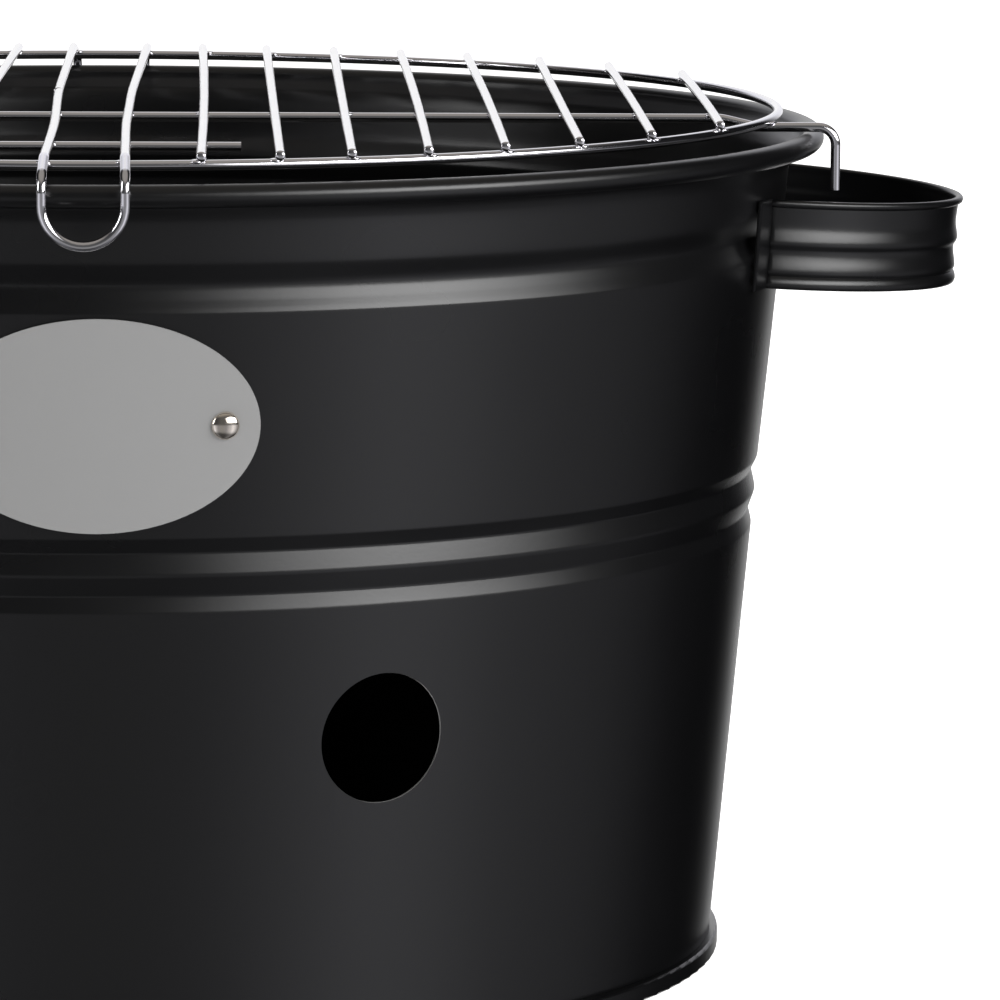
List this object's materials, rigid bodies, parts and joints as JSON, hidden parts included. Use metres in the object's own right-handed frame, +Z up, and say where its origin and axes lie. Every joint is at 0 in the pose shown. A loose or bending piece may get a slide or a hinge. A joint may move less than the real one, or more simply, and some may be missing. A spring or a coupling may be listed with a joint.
{
  "type": "portable tabletop grill",
  "caption": "Portable tabletop charcoal grill: round tapered steel bucket with side handles, air vents, a lift-out charcoal grate and a chrome wire cooking grate.",
  "frame": {"origin": "on the floor under the middle of the round bucket", "axes": "+Z up; +X towards the right side handle as seen from the front; the name plate and one wire handle face -Y"},
  "size_m": [0.4052, 0.3454, 0.1985],
  "materials": {
    "black_enamel": "satin black paint",
    "rim_steel": "bare wire inside the rolled rim",
    "plate_grey": "flat grey, blank",
    "rivet_nickel": "bright nickel",
    "grate_enamel": "satin black enamel",
    "chrome_wire": "bright chrome plating"
  },
  "bodies": {
    "bucket": {"bucket_wall": "black_enamel", "rim_wire": "rim_steel", "bucket_base": "black_enamel", "left_handle": "black_enamel", "right_handle": "black_enamel", "name_plate": "plate_grey", "plate_rivet_left": "rivet_nickel", "plate_rivet_right": "rivet_nickel"},
    "charcoal_tray": {"charcoal_grate": "grate_enamel"},
    "cooking_grate": {"grate_ring": "chrome_wire", "grate_handle_loop": "chrome_wire", "grate_hook_wire": "chrome_wire", "grate_short_wire": "chrome_wire", "grate_bar_01": "chrome_wire", "grate_bar_02": "chrome_wire", "grate_bar_03": "chrome_wire", "grate_bar_04": "chrome_wire", "grate_bar_05": "chrome_wire", "grate_bar_06": "chrome_wire", "grate_bar_07": "chrome_wire", "grate_bar_08": "chrome_wire", "grate_bar_09": "chrome_wire", "grate_bar_10": "chrome_wire", "grate_bar_11": "chrome_wire", "grate_bar_12": "chrome_wire", "grate_bar_13": "chrome_wire", "grate_bar_14": "chrome_wire", "grate_bar_15": "chrome_wire", "grate_bar_16": "chrome_wire"}
  },
  "joints": [
    {"name": "grate_lift", "type": "slide", "parent": "bucket", "child": "cooking_grate", "axis": [0, 0, 1], "range_m": [0, 0.26]},
    {"name": "charcoal_lift", "type": "slide", "parent": "bucket", "child": "charcoal_tray", "axis": [0, 0, 1], "range_m": [0, 0.13]}
  ],
  "couplings": [
    {"joint": "charcoal_lift", "follows": "grate_lift", "ratio": 0.5}
  ]
}
